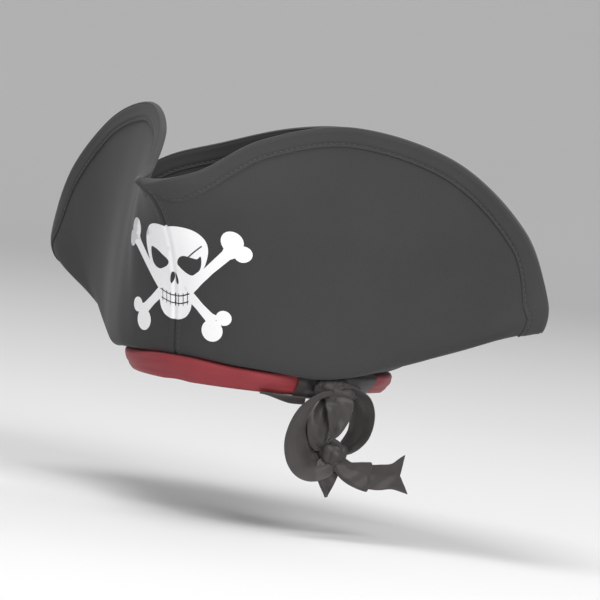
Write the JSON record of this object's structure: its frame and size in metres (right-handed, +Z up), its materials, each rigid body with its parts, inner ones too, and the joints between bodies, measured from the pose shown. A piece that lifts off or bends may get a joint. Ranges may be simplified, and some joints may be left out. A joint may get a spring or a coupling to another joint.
{
  "type": "pirate hat",
  "caption": "Felt tricorne costume hat with a wired bound edge, red head band, skull and crossbones print and a tied sash hanging at the wearer's left.",
  "frame": {"origin": "centre of the head opening, in the plane of the red band's lower edge", "axes": "+Z up, the front corner points to -Y, the wearer's left is +X"},
  "size_m": [0.4522, 0.2541, 0.2545],
  "materials": {
    "crown_felt": "matte charcoal felt",
    "brim_felt": "matte charcoal felt",
    "brim_facing": "matte charcoal felt facing",
    "binding": "charcoal felt binding, top stitched",
    "lining": "black satin lining",
    "sweatband": "ribbed cotton tape",
    "wire": "drawn steel wire",
    "print": "matte white ink",
    "red_cloth": "red cotton",
    "sash": "charcoal satin with a soft sheen"
  },
  "bodies": {
    "hat": {"crown_tip": "crown_felt", "crown_side_left": "crown_felt", "crown_side_right": "crown_felt", "crown_lining": "lining", "sweatband": "sweatband", "brim_left": "brim_felt", "brim_right": "brim_felt", "brim_facing_left": "brim_facing", "brim_facing_right": "brim_facing", "edge_binding_left": "binding", "edge_binding_right": "binding", "edge_wire_left": "wire", "edge_wire_right": "wire", "skull_print": "print", "bones_print": "print", "red_band": "red_cloth", "sash_wrap": "sash", "sash_tuck": "sash", "upper_knot": "sash"},
    "bow": {"front_loop": "sash", "rear_loop": "sash", "centre_strand": "sash", "lower_knot": "sash"},
    "short_tail": {"short_tail": "sash"},
    "long_tail": {"long_tail": "sash"}
  },
  "joints": [
    {"name": "bow_swing", "type": "hinge", "parent": "hat", "child": "bow", "pos_m": [0.09765, -0.03856, 0.006], "axis": [-0.5299, -0.848, 0], "range_deg": [-5, 60]},
    {"name": "short_tail_swing", "type": "hinge", "parent": "bow", "child": "short_tail", "pos_m": [0.10083, -0.03347, -0.038], "axis": [-0.848, 0.5299, 0], "range_deg": [-25, 8]},
    {"name": "long_tail_swing", "type": "hinge", "parent": "bow", "child": "long_tail", "pos_m": [0.10083, -0.03347, -0.038], "axis": [-0.848, 0.5299, 0], "range_deg": [-4, 55]}
  ]
}
